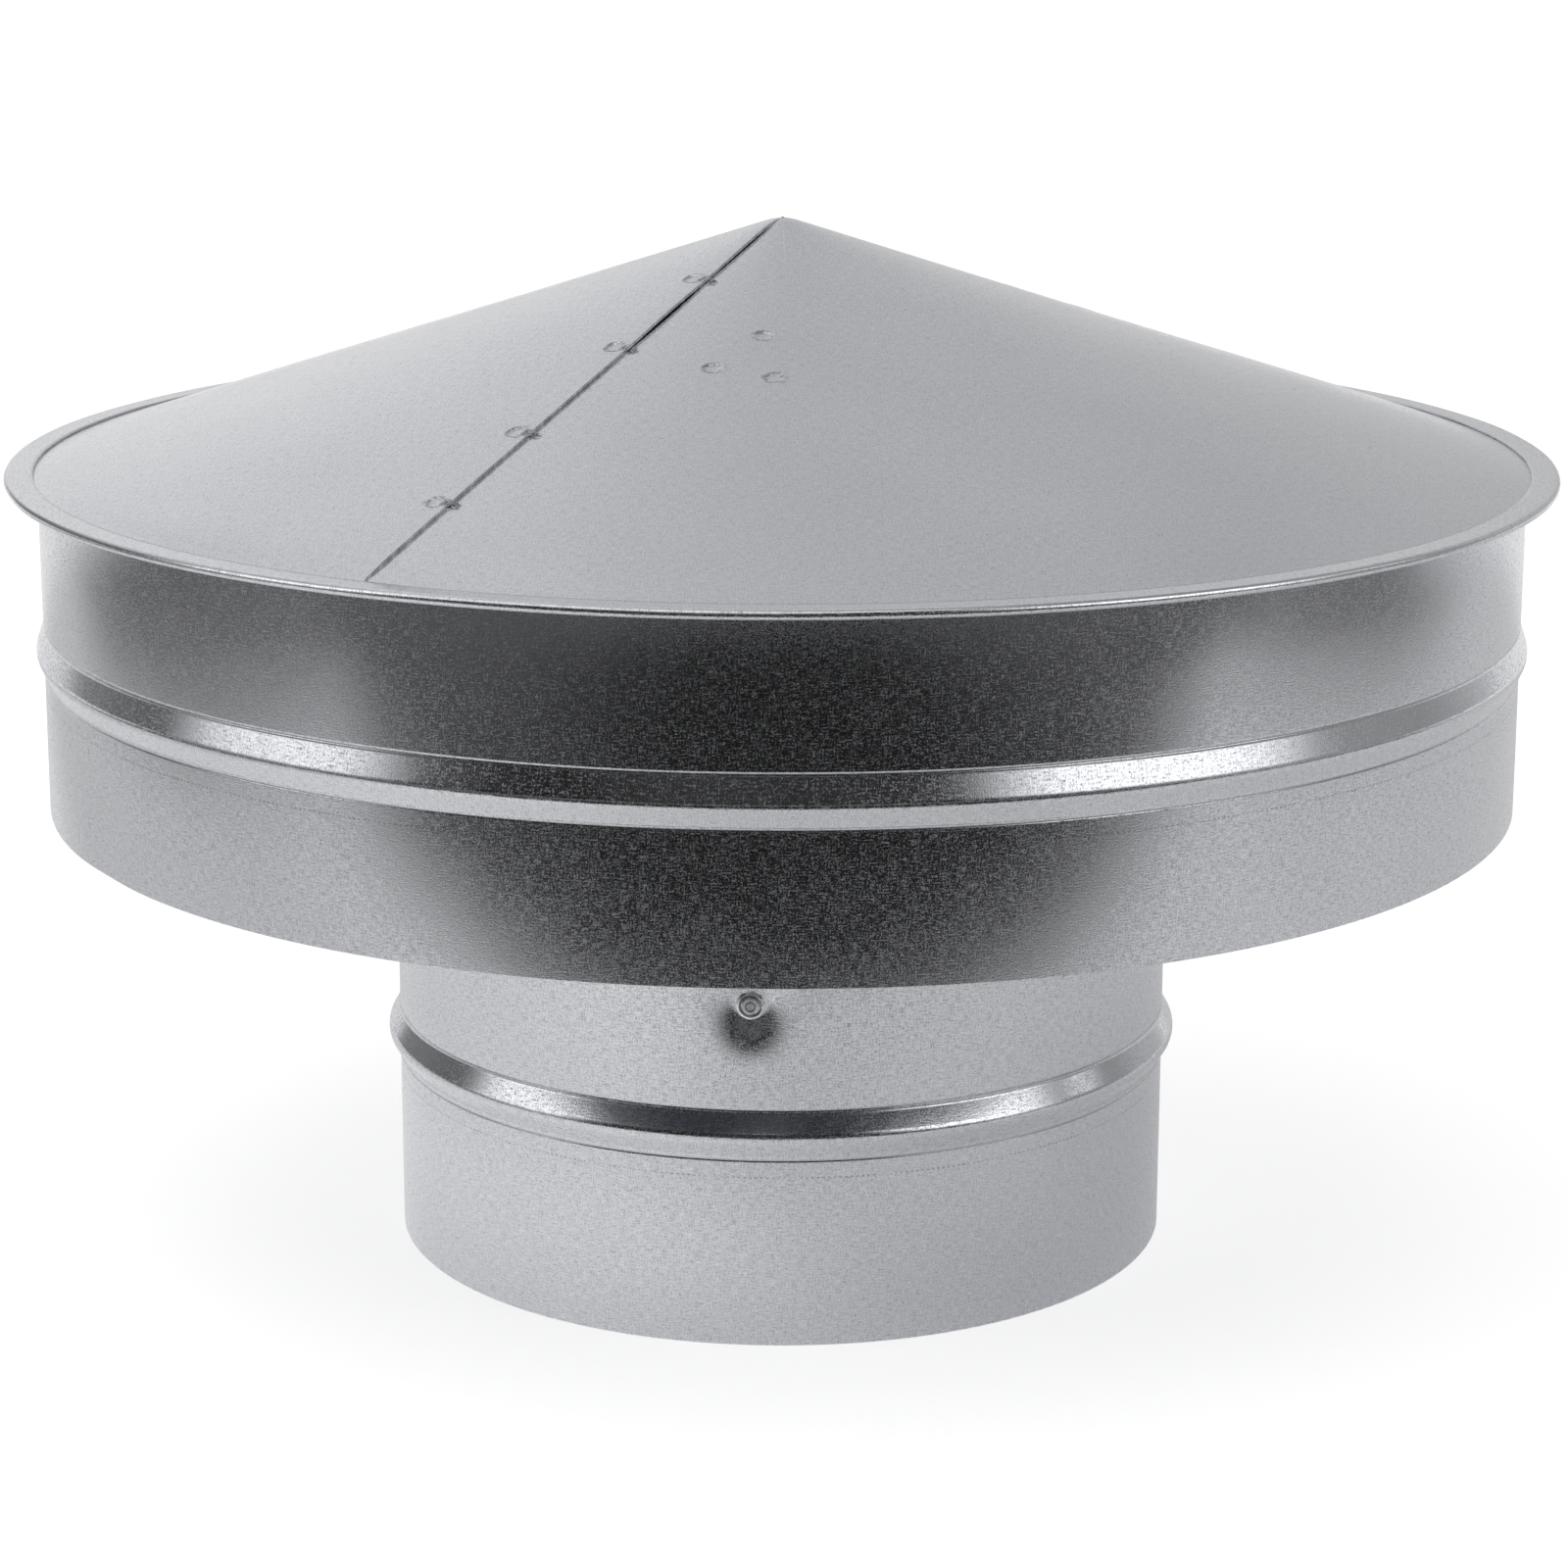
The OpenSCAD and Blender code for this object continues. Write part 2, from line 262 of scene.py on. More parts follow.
def sweep(name, points, columns, warp, closed, flat):
    """A sheet swept round the axis; flat gives each point's place on the sheet before forming."""
    mesh = bpy.data.meshes.new(name)
    bm = bmesh.new()
    uv = bm.loops.layers.uv.new("sheet")
    sections = []
    for column in columns:
        outer, inner = sheet_loop(points, warp, column)
        sections.append(outer + inner[::-1])
    loops = [[(bm.verts.new(place(*p)), flat(*p)) for p in section] for section in sections]
    ends = [] if closed else [loops[0], loops[-1]]
    if closed:
        far = [flat(azimuth + 360, r, z) for azimuth, r, z in sections[0]]
        loops.append([(vert, spot) for (vert, _), spot in zip(loops[0], far)])

    def add_face(corners):
        face = bm.faces.new([vert for vert, _ in corners])
        for loop, (_, spot) in zip(face.loops, corners):
            loop[uv].uv = spot
        return face

    count = len(loops[0])
    for here, there in zip(loops, loops[1:]):
        for i in range(count):
            k = (i + 1) % count
            add_face([here[i], here[k], there[k], there[i]]).smooth = True
    for end in ends:
        for i in range(count // 2 - 1):
            cap = add_face([end[i], end[i + 1], end[count - 2 - i], end[count - 1 - i]])
            cap.material_index = 1
    bmesh.ops.remove_doubles(bm, verts=bm.verts, dist=MERGE)
    bmesh.ops.recalc_face_normals(bm, faces=bm.faces)
    bm.to_mesh(mesh)
    bm.free()
    mesh.set_sharp_from_angle(angle=math.radians(SHARP))
    return add_object(name, mesh)


def columns_between(start, stop, step, fine=()):
    """Azimuths from start to stop, closer together inside each (centre, half, step) of fine."""
    spots = []
    at = start
    while at < stop - 1e-6:
        spots.append(at)
        pitch = step
        for centre, half, close in fine:
            gap = (at - centre + 180) % 360 - 180
            if -half <= gap < half:
                pitch = min(pitch, close)
            elif gap < -half:
                pitch = min(pitch, max(close, -half - gap))
        at += pitch
    spots.append(stop)
    return spots


def turn_between(a, b):
    return (a - b + 180) % 360 - 180


# ---- Hood ----

def hood_lap_height(behind):
    """How far the upper sheet lies above the cone, by the angle behind its cut edge."""
    if behind > HOOD_LAP_SPAN:
        return 0
    return (SHEET + GAP) * (0.5 + 0.5 * math.cos(math.pi * behind / HOOD_LAP_SPAN))


def edge_lift(r):
    """How far the cut edge gapes at this distance from the axis."""
    stops = (0,) + HOOD_WELDS + (HOOD_FOOT_R,)
    for k, lift in enumerate(EDGE_LIFT):
        if stops[k] <= r < stops[k + 1]:
            t = (r - stops[k]) / (stops[k + 1] - stops[k])
            return lift * math.sin(math.pi * t) ** 0.8
    return 0


def hood_waves(x, y, r):
    fade = smooth(4, 25, r) * smooth(HOOD_FOOT_R, HOOD_FOOT_R - 12, r)
    return fade * sum(height * noise.noise(Vector((x / pitch, y / pitch, layer)))
                      for height, pitch, layer in HOOD_WAVES)


def hood_warp(i, r, z, column):
    """Columns run from the hidden end under the seam, once round, to the cut edge on top."""
    grip = smooth(HOOD_FOOT_R - RIM_GRIP[0], HOOD_FOOT_R - RIM_GRIP[1], r) * smooth(0, TIP_GRIP, r)
    azimuth = HOOD_LAP + column
    push = 0
    if column < 0:
        share = math.degrees(min(UNDERLAP / max(r, 1), UNDERLAP_TURN))
        azimuth = HOOD_LAP + column * share
        cover = hood_lap_height(-column * share) * grip
        push = min(0, cover - (SHEET + 2 * GAP) * smooth(0, -0.3, column))
    behind = 360 - column
    if column > 180:
        push += hood_lap_height(behind) * grip
    a = math.radians(azimuth)
    x, y = r * math.sin(a), -r * math.cos(a)
    if column > 180:
        across = r * math.sin(math.radians(min(behind, 90)))
        push += grip * edge_lift(r) * math.exp(-(across / LIFT_REACH) ** 2)
        out = r * math.cos(math.radians(behind))
        for weld in HOOD_WELDS:
            push += dent(math.hypot(across - WELD_IN, out - weld), WELD_R, WELD_DEPTH)
    elif 0 <= column < 30:
        across = r * math.sin(math.radians(column))
        push -= UNDER_SHARE * grip * edge_lift(r) * math.exp(-(across / UNDER_REACH) ** 2)
    for centre in BRACKET_AZ:
        swing = math.radians(azimuth - centre)
        for across, out in BRACKET_WELDS:
            gap = math.hypot(r * math.sin(swing) - across, r * math.cos(swing) - out)
            push += dent(gap, WELD_R, WELD_DEPTH)
    push += hood_waves(x, y, r)
    push -= TIP_SINK * math.exp(-(r / TIP_REACH) ** 2)
    return azimuth, push, 0, 0


def hood_rows():
    """Runs down the cone, close together where a weld leaves its dent."""
    slant = 1 / math.cos(math.radians(HOOD_SLOPE))
    spots = list(TIP_ROWS)
    centres = sorted(HOOD_WELDS + tuple(math.hypot(*place_on) for place_on in BRACKET_WELDS))
    while spots[-1] < HOOD_FOOT_R - 0.2:
        r = spots[-1]
        pitch = ROW_PITCH
        for centre in centres:
            if centre - WELD_ZONE <= r < centre + WELD_ZONE:
                pitch = WELD_PITCH
            elif r < centre - WELD_ZONE:
                pitch = min(pitch, max(WELD_PITCH, centre - WELD_ZONE - r))
        spots.append(min(HOOD_FOOT_R, r + pitch))
    return [run((b - a) * slant, 99) for a, b in zip(spots, spots[1:])]


def make_hood():
    steps = hood_rows() + [bend(0.6, HOOD_SLOPE, 6), run(HOOD_BRIM_R - HOOD_FOOT_R - 0.4, 1.5)]
    points = outline((0, APEX_Z), -HOOD_SLOPE, steps)
    points = [(r, z, -nr, -nz) for r, z, nr, nz in points]
    # Close columns at the cut edge, the sheet under it and the welds of the brackets
    fine = [(360 - 6.5, 6.5, 0.32), (360 - 15, 15, 0.8), (1.5, 2.5, 0.5)]
    fine += [((az - HOOD_LAP - 2) % 360, 9, 0.45) for az in BRACKET_AZ]
    columns = [-1, -0.75, -0.5, -0.25] + columns_between(0, 360, 2, fine)
    return sweep("hood_sheet", points, columns, hood_warp, False, hood_flat)


def hood_flat(azimuth, r, z):
    """The cone unrolled: where a point lay on the flat blank."""
    shrink = math.cos(math.radians(HOOD_SLOPE))
    a = math.radians(azimuth * shrink)
    return r / shrink * math.sin(a) * MM, -r / shrink * math.cos(a) * MM


def hood_splashes():
    """Beside the cut edge, on the upper sheet and on the lower one."""
    places = [(360, 0.5, out) for out in HOOD_WELDS] + [(0, -1, out) for out in HOOD_WELDS]
    return [hood_spot(*place_on) for place_on in places]


def hood_spot(column, behind, out):
    """Place on the blank of a point that far behind the cut edge and out from the axis."""
    azimuth = HOOD_LAP + column - math.degrees(math.atan2(behind, out))
    return hood_flat(azimuth, math.hypot(behind, out), 0)


def hood_weld_spots():
    places = [(360, WELD_IN, out) for out in HOOD_WELDS]
    places += [((az - HOOD_LAP) % 360, -across, out)
               for az in BRACKET_AZ for across, out in BRACKET_WELDS]
    return [hood_spot(*place_on) for place_on in places]


# ---- Ring ----

def ring_points():
    wall_top = RIM_TOP - 2 * FOLD_BEND - FLANGE_BEND
    steps = held_run(RING_BEAD["crest"] - RING_BEAD["below"] - RING_Z)
    steps += bead(RING_BEAD)
    steps += held_run(wall_top - RING_BEAD["crest"] - RING_BEAD["above"])
    flange_at = len(outline((RING_R, RING_Z), 90, steps))
    steps += [bend(FLANGE_BEND, -90, 15), run(RIM_R - RING_R - FLANGE_BEND - FOLD_BEND, 1.5),
              bend(FOLD_BEND, 180, 12), run(FOLD_W - FOLD_BEND, 0.8)]
    return outline((RING_R, RING_Z), 90, steps), flange_at


def ring_flat(azimuth, r, z):
    return math.radians(azimuth) * RING_R * MM, (z + r - RING_R) * MM


def ring_weld_spots():
    azimuth = RING_LAP + 360 - math.degrees(WELD_IN / RING_R)
    return [ring_flat(azimuth, RING_R, z) for z in RING_WELDS]


def knock(azimuth, z):
    across = math.radians(turn_between(azimuth, KNOCK_AZ)) * RING_R
    height = smooth(KNOCK_Z + 16, KNOCK_Z - 3, z)
    return KNOCK_DEPTH * math.exp(-(across / KNOCK_REACH) ** 2) * height


def make_ring():
    points, flange_at = ring_points()

    def warp(i, r, z, column):
        hold = smooth(RIM_TOP - LAP_END[0], RIM_TOP - LAP_END[1], z) if i < flange_at else 0
        azimuth = RING_LAP + column * (4 * hold if column < 0 else 1)
        push = 0
        if column > 180:
            behind = 360 - column
            rise = (SHEET + GAP) * smooth(RING_LAP_SPAN, 0, behind)
            across = RING_R * math.radians(behind)
            wave = 1 - math.cos((z - RING_Z) / RIPPLE_PITCH)
            push = rise + RIPPLE * math.exp(-across / RIPPLE_REACH) * wave
            for weld in RING_WELDS:
                push += dent(math.hypot(across - WELD_IN, z - weld), WELD_R, WELD_DEPTH)
            push *= hold
        a = math.radians(azimuth)
        around = Vector((math.sin(a), math.cos(a), 0))
        push += RING_WAVE * hold * noise.noise(around * 2.3 + Vector((0, 0, z / 40)))
        dr = dz = 0
        if i < flange_at:
            lean = max(0, (z - RIM_TOP) / LEAN_HEIGHT + 1)
            push -= TOP_LEAN * lean ** 2
            push -= knock(azimuth, z)
        else:
            out = smooth(RING_R + 1, RIM_R - 1, r)
            dr = -RIM_INWARDS * out * (1 + noise.noise(around * 5)) - TOP_LEAN * (1 - out)
            dz = -RIM_DOWNWARDS * out * (1 + noise.noise(around * 7 + Vector((3, 0, 0))))
            if i > len(points) - 4:
                dr += RIM_EDGE * noise.noise(around * 14)
        return azimuth, push, dr, dz

    fine = [(360 - 2.2, 2.2, 0.25)]
    columns = [-1, -0.5] + columns_between(0, 360, 1, fine)
    return sweep("ring_sheet", points, columns, warp, False, ring_flat)


# ---- Spigot ----

def drawn_in(away):
    """Share of the full depth to which the rivet draws the wall in, steepest near the head."""
    t = min(1, max(0, (away - SEAT_HALF) / (SEAT_REACH - SEAT_HALF)))
    return (1 - t) ** 2


def make_spigot():
    steps = held_run(SPIGOT_BEAD["crest"] - SPIGOT_BEAD["below"])
    steps += bead(SPIGOT_BEAD)
    seat_z = RIVET_Z + SEAT_LIFT
    steps += held_run(seat_z - SEAT_REACH - SPIGOT_BEAD["crest"] - SPIGOT_BEAD["above"])
    steps += [run(2 * SEAT_REACH, 0.5), run(SPIGOT_H - seat_z - SEAT_REACH, 3)]
    points = outline((SPIGOT_R, 0), 90, steps)

    def warp(i, r, z, column):
        a = math.radians(column)
        around = Vector((math.sin(a), math.cos(a), 0))
        push = SPIGOT_WAVE * noise.noise(around * 1.7 + Vector((0, 0, z / 35)))
        for rivet in BRACKET_AZ:
            swing = math.radians(turn_between(column, rivet))
            across = SPIGOT_R * math.sin(swing)
            if abs(across) < SEAT_REACH and abs(z - seat_z) < SEAT_REACH and math.cos(swing) > 0:
                away = math.hypot(SEAT_NARROW * across, z - seat_z)
                plain = math.sqrt(SPIGOT_R ** 2 - across ** 2)
                push += drawn_in(away) * min(0, SEAT_R - plain) / math.cos(swing)
        across = SPIGOT_R * math.radians(turn_between(column, SPIGOT_SEAM))
        push += SEAM_HEIGHT * math.exp(-(across / SEAM_REACH) ** 2)
        return column, push, 0, 0

    fine = [(az % 360, 9.5, 0.38) for az in BRACKET_AZ] + [(SPIGOT_SEAM, 1.6, 0.25)]
    columns = columns_between(0, 360, 1.5, fine)[:-1]

    def flat(azimuth, r, z):
        return math.radians(azimuth) * SPIGOT_R * MM, z * MM

    return sweep("spigot_sheet", points, columns, warp, True, flat)


# ---- Rivets ----

# Outlines turned round a rivet's axis: distance from the axis, and height out of its seat
RIVET_SHAPE = ((0.94, -4.8), (0.94, 0.86), (1.0, 0.95), (1.15, 1.0), (1.4, 0.98), (1.6, 0.88),
               (1.7, 0.72), (1.71, 0.5), (1.68, 0.3), (1.72, 0.15), (1.85, 0.1), (2.05, 0.2),
               (2.2, 0.36), (2.32, 0.43), (2.46, 0.4), (2.66, 0.27), (2.84, 0.1), (2.82, 0.01),
               (2.2, 0.01), (1.6, 0.0), (1.6, -1.9), (2.05, -1.95), (2.45, -2.4), (2.6, -3.4),
               (2.4, -4.2), (1.9, -4.75), (1.4, -4.85))
PIN_SHAPE = ((0, -6.2), (0.8, -6.0), (1.3, -5.6), (1.35, -4.95), (0.91, -4.9), (0.9, -1),
             (0.9, 0.78), (0.84, 0.88), (0.6, 0.93), (0.3, 0.9), (0, 0.89))
# The knob, inside this radius and above this height, is matt; the flange round it shines
KNOB_R = 1.72
KNOB_LOW = 0.25
LATHE_SEGMENTS = 32


def lathe(name, shape, azimuth, closed):
    """A small part turned round the axis of the rivet at that azimuth."""
    a = math.radians(azimuth)
    out = Vector((math.sin(a), -math.cos(a), 0))
    side = Vector((math.cos(a), math.sin(a), 0))
    up = Vector((0, 0, 1))
    seat = out * SEAT_R + up * RIVET_Z
    bm = bmesh.new()
    rings = []
    for r, height in shape:
        ring = []
        for k in range(LATHE_SEGMENTS if r else 1):
            t = 2 * math.pi * k / LATHE_SEGMENTS
            spoke = side * math.cos(t) + up * math.sin(t)
            ring.append(bm.verts.new((seat + out * height + spoke * r) * MM))
        rings.append(ring)
    order = list(range(len(shape))) + ([0] if closed else [])
    for i, j in zip(order, order[1:]):
        knob = shape[i][1] > KNOB_LOW and max(shape[i][0], shape[j][0]) < KNOB_R
        for k in range(LATHE_SEGMENTS):
            m = (k + 1) % LATHE_SEGMENTS
            here = [rings[i][k], rings[i][m]] if shape[i][0] else rings[i]
            there = [rings[j][m], rings[j][k]] if shape[j][0] else rings[j]
            face = bm.faces.new(here + there)
            face.smooth = True
            face.material_index = 1 if knob else 0
    bmesh.ops.recalc_face_normals(bm, faces=bm.faces)
    mesh = bpy.data.meshes.new(name)
    bm.to_mesh(mesh)
    bm.free()
    obj = add_object(name, mesh)
    rounded = obj.modifiers.new("rounded", "SUBSURF")
    rounded.levels = rounded.render_levels = 1
    return obj


# ---- Materials ----

class Shader:
    """The nodes of a material or world, wired one after another."""

    def __init__(self, owner):
        owner.use_nodes = True
        self.owner = owner
        self.tree = owner.node_tree
        self.tree.nodes.clear()

    def node(self, kind, inputs=None, **settings):
        made = self.tree.nodes.new(kind)
        for key, value in settings.items():
            setattr(made, key, value)
        for key, value in (inputs or {}).items():
            self.put(made.inputs[key], value)
        return made

    def put(self, socket, value):
        if isinstance(value, bpy.types.NodeSocket):
            self.tree.links.new(value, socket)
        else:
            socket.default_value = value

    def noise(self, vector, scale, detail=2, rough=0.5):
        inputs = {"Vector": vector, "Scale": scale, "Detail": detail, "Roughness": rough}
        return self.node("ShaderNodeTexNoise", inputs).outputs["Fac"]

    def stretch(self, vector, scale):
        made = self.node("ShaderNodeMapping", {"Vector": vector})
        made.inputs["Scale"].default_value = scale
        return made.outputs["Vector"]

    def spread(self, value, low, high, to_low, to_high, kind="LINEAR"):
        """The value, taken from low..high to another range and held at its ends."""
        inputs = {"Value": value, "From Min": low, "From Max": high,
                  "To Min": to_low, "To Max": to_high}
        made = self.node("ShaderNodeMapRange", inputs, interpolation_type=kind)
        return made.outputs["Result"]

    def turn(self, *levels):
        """The same with an even turn at both ends."""
        return self.spread(*levels, kind="SMOOTHSTEP")

    def maths(self, kind, a, b=0.0):
        made = self.node("ShaderNodeMath", operation=kind)
        self.put(made.inputs[0], a)
        self.put(made.inputs[1], b)
        return made.outputs["Value"]

    def dot(self, vector, axis):
        made = self.node("ShaderNodeVectorMath", {0: vector, 1: axis}, operation="DOT_PRODUCT")
        return made.outputs["Value"]

    def nearest(self, at, spots):
        """Distance to the nearest of some places on the sheet."""
        best = None
        for spot in spots:
            made = self.node("ShaderNodeVectorMath", {0: at, 1: (*spot, 0)}, operation="DISTANCE")
            away = made.outputs["Value"]
            best = away if best is None else self.maths("MINIMUM", best, away)
        return best

    def grey(self, value, tint):
        """A colour of that brightness, leaning to the tint."""
        made = self.node("ShaderNodeMix", {"Factor": 1.0}, data_type="RGBA", blend_type="MULTIPLY")
        self.put(made.inputs["A"], value)
        made.inputs["B"].default_value = (*tint, 1)
        return made.outputs["Result"]

    def bump(self, height, distance, strength, normal=None):
        inputs = {"Height": height, "Distance": distance, "Strength": strength}
        if normal is not None:
            inputs["Normal"] = normal
        return self.node("ShaderNodeBump", inputs).outputs["Normal"]

    def finish(self, shader):
        self.node("ShaderNodeOutputMaterial", {"Surface": shader})
        return self.owner


ZINC_TINT = (0.94, 0.953, 1.0)
BARE_TINT = (0.965, 0.975, 1.0)
# Pitch of the dots in the roller's line, in metres
DOT_PITCH = 0.0011
# How much lighter and darker the zinc grains are than the tone, and how much rougher at most
GRAIN_TONE = 0.21
GRAIN_ROUGH = 0.5
# Levels of the grain noise between which the tone and the roughness turn
TONE_AT = (0.38, 0.62)
ROUGH_AT = (0.49, 0.65)


def weld_marks(s, at, spots):
    """Where the ragged wall of a weld's dent is, and where its middle is."""
    ragged = s.maths("MULTIPLY", s.spread(s.noise(at, 650, 1), 0.3, 0.7, -1.0, 1.0), 0.0005)
    away = s.maths("ADD", s.nearest(at, spots), ragged)
    patchy = s.spread(s.noise(at, 420, 1), 0.4, 0.6, 0.1, 1.0)
    wall = s.maths("MULTIPLY", s.turn(away, 0.0012, 0.0019, 0.0, 1.0),
                   s.maths("MULTIPLY", s.turn(away, 0.0021, 0.0028, 1.0, 0.0), patchy))
    middle = s.turn(away, 0.0012, 0.0024, 1.0, 0.0)
    return wall, middle


def burrs(s, at, spots):
    """Splashes of burnt zinc where a weld lies close to a cut edge."""
    near = s.turn(s.nearest(at, spots), 0.0005, 0.0017, 1.0, 0.0)
    return s.maths("MULTIPLY", near, s.spread(s.noise(at, 1500, 1), 0.38, 0.56, 0.0, 1.0))


def line_at(s, up, height, half):
    """Nearness to a line along the sheet."""
    off = s.maths("ABSOLUTE", s.maths("SUBTRACT", up, height * MM))
    return s.turn(off, 0.0, half * MM, 1.0, 0.0)


def roller_marks(s, at, height):
    """The dotted line along the sheet where the edge of the roller bit."""
    parts = s.node("ShaderNodeSeparateXYZ", {"Vector": at}).outputs
    line = line_at(s, parts["Y"], height, 0.3)
    dots = s.maths("SINE", s.maths("MULTIPLY", parts["X"], 2 * math.pi / DOT_PITCH))
    patchy = s.spread(s.noise(at, 160, 1), 0.35, 0.6, 0.4, 1.0)
    return s.maths("MULTIPLY", s.maths("MULTIPLY", line, s.spread(dots, -0.4, 0.5, 0.0, 1.0)),
                   patchy)


def speckle(s, at):
    """Fine zinc grain crossed by the short streaks of the rolls."""
    fine = s.noise(at, 3600, 2, 0.65)
    across = s.noise(s.stretch(at, (1.0, 0.16, 1.0)), 3600, 1)
    along = s.noise(s.stretch(at, (0.16, 1.0, 1.0)), 3600, 1)
    streaks = s.maths("ADD", s.maths("MULTIPLY", across, 0.2), s.maths("MULTIPLY", along, 0.25))
    return s.maths("ADD", s.maths("MULTIPLY", fine, 0.55), streaks)


def zinc(name, tone=0.69, rough=0.11, on_sheet=True, grain=1.0, welds=(), splashes=(),
         line=None, creases=()):
    """Galvanised sheet: bright zinc with matt grains, soft unevenness, traces of forming, and painted
    shade along the creases beside the beads.
    """
    s = Shader(bpy.data.materials.new(name))
    if on_sheet:
        at = s.node("ShaderNodeUVMap", uv_map="sheet").outputs["UV"]
    else:
        at = s.node("ShaderNodeTexCoord").outputs["Object"]
    speck = speckle(s, at)
    clouds = s.noise(at, 22, 3, 0.5)
    patches = s.noise(at, 130, 2, 0.5)
    contrast = GRAIN_TONE * grain
    value = s.spread(speck, *TONE_AT, tone * (1 + contrast), tone * (1 - contrast))
    value = s.maths("MULTIPLY", value, s.spread(clouds, 0.3, 0.7, 0.975, 1.025))
    roughness = s.spread(speck, *ROUGH_AT, rough, rough + GRAIN_ROUGH * grain)
    roughness = s.maths("ADD", roughness, s.spread(patches, 0.3, 0.7, 0.02, -0.02))
    bumps = s.bump(speck, 0.0001, 0.25 * grain)
    if line:
        marks = roller_marks(s, at, line)
        value = s.maths("MULTIPLY", value, s.spread(marks, 0.0, 1.0, 1.0, 0.55))
        up = s.node("ShaderNodeSeparateXYZ", {"Vector": at}).outputs["Y"]
        # Painted shade: each crease beside the bead gets a darker line, as well as a bump of its own
        for crease in creases:
            fold = line_at(s, up, crease, 0.4)
            value = s.maths("MULTIPLY", value, s.spread(fold, 0.0, 1.0, 1.0, 0.75))
            bumps = s.bump(s.maths("SUBTRACT", 1.0, fold), 0.00008, 1.0, bumps)
    if welds:
        wall, middle = weld_marks(s, at, welds)
        value = s.maths("MULTIPLY", value, s.spread(wall, 0.0, 1.0, 1.0, 0.72))
        roughness = s.maths("ADD", roughness, s.maths("MULTIPLY", middle, 0.08))
        bumps = s.bump(s.maths("SUBTRACT", 1.0, middle), 0.00016, 1.0, bumps)
    if splashes:
        splash = burrs(s, at, splashes)
        value = s.maths("MULTIPLY", value, s.spread(splash, 0.0, 1.0, 1.0, 0.45))
        bumps = s.bump(splash, 0.0004, 1.0, bumps)
    inputs = {"Base Color": s.grey(value, ZINC_TINT), "Metallic": 1.0,
              "Roughness": roughness, "Normal": s.bump(clouds, 0.003, 0.01, bumps)}
    return s.finish(s.node("ShaderNodeBsdfPrincipled", inputs).outputs["BSDF"])


def crease_heights(shape):
    """Heights of the creases beside a bead, on the sheet as it lies along its outer face."""
    return shape["crest"] + shape["above"] + 0.3, shape["crest"] - shape["below"] - 0.3


# Reach, in metres, of the painted shade that darkens corners and creases
CORNER_SHADE_REACH = 0.0013


def raw_metal(name, tone, rough, metallic, shade_free_ao):
    """Small fasteners and cut edges: blotchy metal, darkened by painted shade in corners and creases
    where ambient occlusion is low.
    """
    s = Shader(bpy.data.materials.new(name))
    at = s.node("ShaderNodeTexCoord").outputs["Object"]
    marks = s.noise(at, 1400, 2)
    dull = s.noise(at, 700, 2)
    corner = s.node("ShaderNodeAmbientOcclusion", {"Distance": CORNER_SHADE_REACH}, samples=6)
    # Painted shade: the tone falls to a quarter where ambient occlusion is low, in corners and
    # creases
    value = s.maths("MULTIPLY", s.spread(dull, 0.35, 0.65, tone * 0.75, tone * 1.2),
                    s.turn(corner.outputs["AO"], shade_free_ao - 0.16, shade_free_ao, 0.25, 1.0))
    inputs = {"Base Color": s.grey(value, BARE_TINT), "Metallic": metallic,
              "Roughness": s.spread(marks, 0.35, 0.65, rough + 0.1, rough - 0.1),
              "Normal": s.bump(marks, 0.0002, 0.5)}
    return s.finish(s.node("ShaderNodeBsdfPrincipled", inputs).outputs["BSDF"])


# ---- Stage, light and camera ----

WHITE = (1, 1, 1)
FLOOR_SIZE = 12
# Glow that lifts the floor to the white of the background where the camera sees it
LIFT_SEEN = 0.62
# The same where the metal mirrors it. Each entry gives where it turns, in metres along x,
# along y or away from the axis, and the two levels
LIFT_ACROSS = (-0.2, 0.02, 0.31, 0.14)
LIFT_FAR_LEFT = (-0.42, -0.26, 0.36, 1.0)
LIFT_FOOT = (-0.06, 0.06, 0.3, 0.11)
FOOT_REACH = (0.1, 0.22)
LIFT_BACK = (0.5, 0.66, 0.0, 0.3)
# The pale paper ends here; past it the metal mirrors a dark room in front and a grey one beside
PAPER_FRONT = -0.375
PAPER_SKEW = 0.07
FEATHER = 0.05
ROOM = 2.4
# A card turns from its middle tone to the one at its sides between these distances
CARD_SIDES = (0.15, 0.75)


def plane(name, corners, material):
    mesh = bpy.data.meshes.new(name)
    mesh.from_pydata(corners, [], [(0, 1, 2, 3)])
    mesh.materials.append(material)
    obj = add_object(name, mesh)
    return obj


